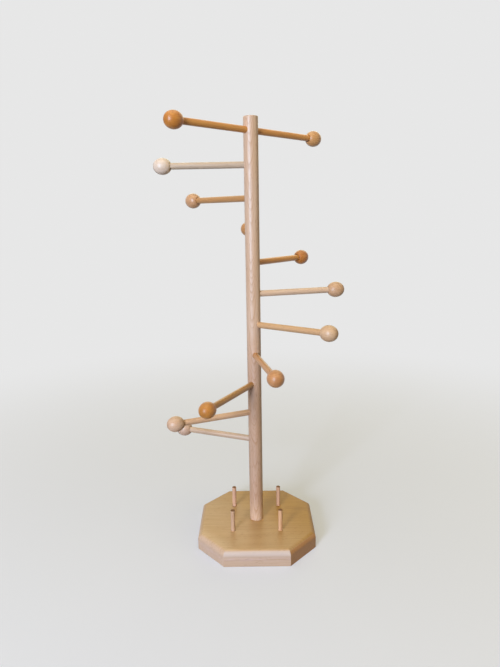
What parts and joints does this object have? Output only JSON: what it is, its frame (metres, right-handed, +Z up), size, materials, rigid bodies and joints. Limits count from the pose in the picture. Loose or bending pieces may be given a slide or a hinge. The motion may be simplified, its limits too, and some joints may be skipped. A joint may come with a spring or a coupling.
{
  "type": "tabletop jewellery tree",
  "caption": "Wooden jewellery tree: an eight-sided board, a round post, ball-ended dowel arms in a falling spiral and short ring pegs round the post's foot.",
  "frame": {"origin": "under the middle of the board, on the post's axis, on the surface the stand rests on", "axes": "+Z up along the post; the front of the stand, as pictured, faces -Y; +X to the right seen from the front"},
  "size_m": [0.2107, 0.2095, 0.485],
  "materials": {
    "board_beech": "satin lacquered beech, flat sawn",
    "post_beech": "satin lacquered beech dowel",
    "arm_cherry": "satin lacquered reddish hardwood dowel",
    "arm_maple": "satin lacquered pale hardwood dowel",
    "ball_cherry": "lacquered reddish hardwood, turned",
    "ball_maple": "lacquered pale hardwood, turned",
    "peg_beech": "lacquered beech dowel with sawn ends"
  },
  "bodies": {
    "root": {"base_board": "board_beech", "post": "post_beech", "arm_dowel_01": "arm_cherry", "arm_dowel_02": "arm_maple", "arm_dowel_03": "arm_cherry", "arm_dowel_04": "arm_cherry", "arm_dowel_05": "arm_cherry", "arm_dowel_06": "arm_maple", "arm_dowel_07": "arm_maple", "arm_dowel_08": "arm_cherry", "arm_dowel_09": "arm_cherry", "arm_dowel_10": "arm_maple", "arm_dowel_11": "arm_maple", "ball_01_left": "ball_cherry", "ball_01_right": "ball_cherry", "ball_02": "ball_maple", "ball_03": "ball_cherry", "ball_04": "ball_cherry", "ball_05": "ball_cherry", "ball_06": "ball_maple", "ball_07": "ball_maple", "ball_08": "ball_cherry", "ball_09": "ball_cherry", "ball_10": "ball_maple", "ball_11": "ball_maple", "base_peg_front_left": "peg_beech", "base_peg_front_right": "peg_beech", "base_peg_back_left": "peg_beech", "base_peg_back_right": "peg_beech"}
  },
  "joints": []
}
